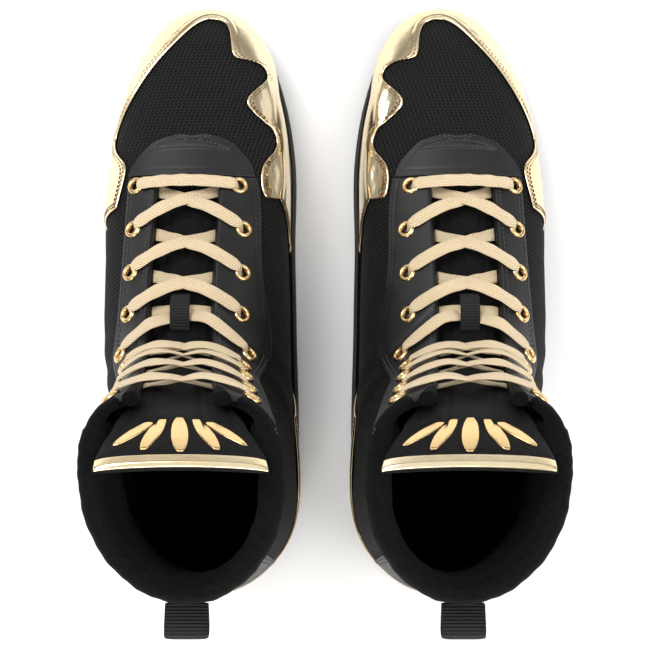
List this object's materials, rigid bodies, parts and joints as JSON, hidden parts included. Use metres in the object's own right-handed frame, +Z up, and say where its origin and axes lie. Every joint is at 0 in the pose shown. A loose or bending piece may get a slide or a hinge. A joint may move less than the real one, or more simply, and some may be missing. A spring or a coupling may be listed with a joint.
{
  "type": "pair of boxing boots",
  "caption": "Pair of high lace-up boxing boots with mesh uppers, foil toe and heel overlays, padded collars, tongues and rubber soles.",
  "frame": {"origin": "on the floor, midway between the two boots and midway along their length", "axes": "+Z up, the toes point to -Y, the left boot is at +X"},
  "size_m": [0.2324, 0.3011, 0.2084],
  "materials": {
    "sole_rubber": "matt moulded rubber",
    "midsole_foam": "matt foam",
    "board": "matt fibre board",
    "footbed_fabric": "brushed fabric",
    "stiffener": "matt thermoplastic",
    "lining": "knitted lining",
    "mesh": "ribbed air mesh",
    "gold_foil": "mirror foil on synthetic leather",
    "black_leather": "smooth satin synthetic leather",
    "collar_fabric": "brushed padded fabric",
    "tongue_fabric": "padded satin textile",
    "webbing": "ribbed webbing",
    "gold_metal": "polished plated metal",
    "lace": "flat woven polyester"
  },
  "bodies": {
    "left_boot": {"left_outsole": "sole_rubber", "left_midsole": "midsole_foam", "left_lasting_board": "board", "left_footbed": "footbed_fabric", "left_toe_puff": "stiffener", "left_heel_counter": "stiffener", "left_vamp_lining": "lining", "left_lateral_lining": "lining", "left_medial_lining": "lining", "left_heel_lining": "lining", "left_vamp_mesh": "mesh", "left_toe_overlay": "gold_foil", "left_throat_bib": "black_leather", "left_lateral_facing": "black_leather", "left_medial_facing": "black_leather", "left_lateral_quarter": "mesh", "left_medial_quarter": "mesh", "left_rear_panel": "black_leather", "left_heel_overlay": "gold_foil", "left_collar_padding": "collar_fabric", "left_collar_binding": "collar_fabric", "left_shaft_tabs": "gold_foil", "left_tongue": "tongue_fabric", "left_lace_keeper": "webbing", "left_eyelets": "gold_metal", "left_laces": "lace"},
    "right_boot": {"right_outsole": "sole_rubber", "right_midsole": "midsole_foam", "right_lasting_board": "board", "right_footbed": "footbed_fabric", "right_toe_puff": "stiffener", "right_heel_counter": "stiffener", "right_vamp_lining": "lining", "right_lateral_lining": "lining", "right_medial_lining": "lining", "right_heel_lining": "lining", "right_vamp_mesh": "mesh", "right_toe_overlay": "gold_foil", "right_throat_bib": "black_leather", "right_lateral_facing": "black_leather", "right_medial_facing": "black_leather", "right_lateral_quarter": "mesh", "right_medial_quarter": "mesh", "right_rear_panel": "black_leather", "right_heel_overlay": "gold_foil", "right_collar_padding": "collar_fabric", "right_collar_binding": "collar_fabric", "right_shaft_tabs": "gold_foil", "right_tongue": "tongue_fabric", "right_lace_keeper": "webbing", "right_eyelets": "gold_metal", "right_laces": "lace"},
    "left_tongue_top": {"left_tongue_top": "tongue_fabric", "left_tongue_trim": "gold_foil", "left_tongue_emblem": "gold_foil"},
    "left_pull_loop": {"left_pull_loop": "webbing"},
    "right_tongue_top": {"right_tongue_top": "tongue_fabric", "right_tongue_trim": "gold_foil", "right_tongue_emblem": "gold_foil"},
    "right_pull_loop": {"right_pull_loop": "webbing"}
  },
  "joints": [
    {"name": "right_boot_shift", "type": "slide", "parent": "left_boot", "child": "right_boot", "axis": [-1, 0, 0], "range_m": [0, 0.12]},
    {"name": "left_tongue_fold", "type": "hinge", "parent": "left_boot", "child": "left_tongue_top", "pos_m": [0.06, 0.0545, 0.178], "axis": [1, 0, 0], "range_deg": [-4, 20]},
    {"name": "left_loop_fold", "type": "hinge", "parent": "left_boot", "child": "left_pull_loop", "pos_m": [0.0587, 0.1368, 0.16026], "axis": [1, 0, 0], "range_deg": [-55, 65]},
    {"name": "right_tongue_fold", "type": "hinge", "parent": "right_boot", "child": "right_tongue_top", "pos_m": [-0.06, 0.0545, 0.178], "axis": [1, 0, 0], "range_deg": [-4, 20]},
    {"name": "right_loop_fold", "type": "hinge", "parent": "right_boot", "child": "right_pull_loop", "pos_m": [-0.0587, 0.1368, 0.16026], "axis": [1, 0, 0], "range_deg": [-55, 65]}
  ]
}
